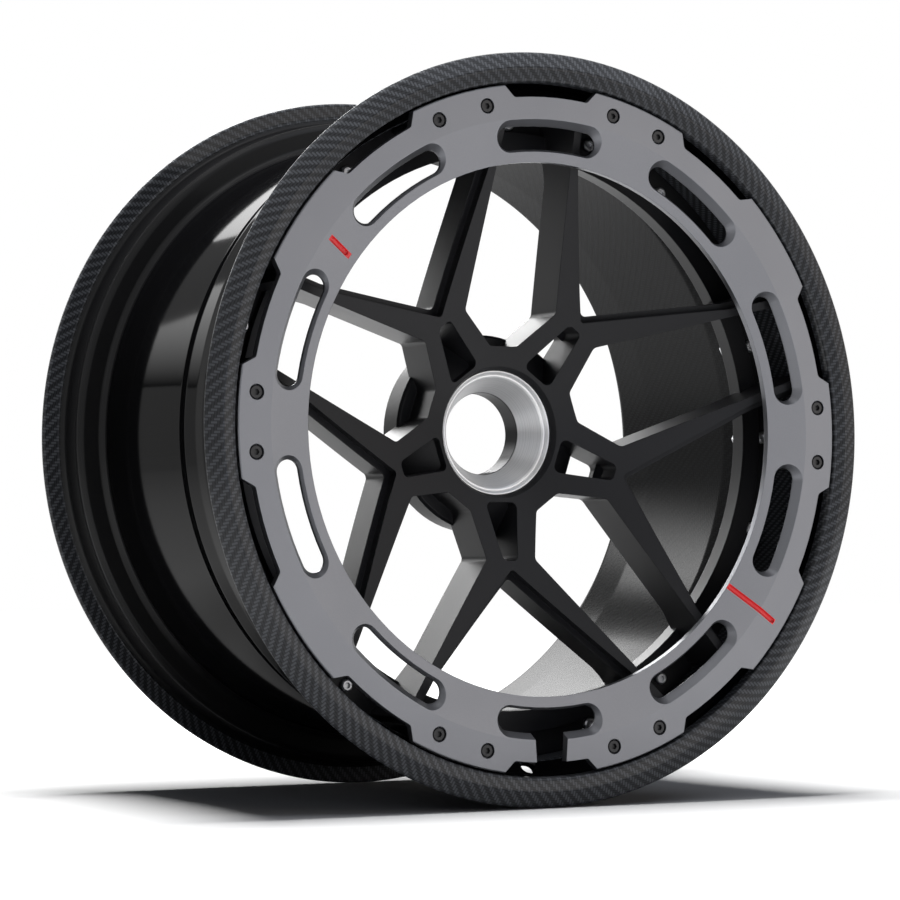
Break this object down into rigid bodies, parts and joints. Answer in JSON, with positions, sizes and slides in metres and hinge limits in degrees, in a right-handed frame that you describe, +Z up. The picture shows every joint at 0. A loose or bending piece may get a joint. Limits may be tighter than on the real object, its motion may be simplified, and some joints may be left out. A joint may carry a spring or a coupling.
{
  "type": "forged wheel",
  "caption": "Wide centre-lock car wheel with a gloss carbon barrel, a dished forged centre of forked spokes and a slotted flat cover ring.",
  "frame": {"origin": "centre of the wheel, on the axle line half way between the two lips", "axes": "+Y along the axle towards the car, -Y is the street side, +Z up with the valve at the bottom"},
  "size_m": [0.5474, 0.3094, 0.5474],
  "materials": {
    "gloss_carbon": "clear-coated carbon twill",
    "satin_black": "satin black on forged aluminium",
    "turned_steel": "turned",
    "satin_grey": "satin metallic grey on aluminium",
    "bright_bolt": "bright",
    "bright_nut": "bright",
    "black_bolt": "black oxide",
    "dark_post": "black anodised"
  },
  "bodies": {
    "root": {"barrel": "gloss_carbon", "forged_centre": "satin_black", "centre_lock_seat": "turned_steel", "cover_ring": "satin_grey", "rim_bolts": "bright_bolt", "rim_nuts": "bright_nut", "ring_bolts": "black_bolt", "ring_standoffs": "dark_post"}
  },
  "joints": []
}
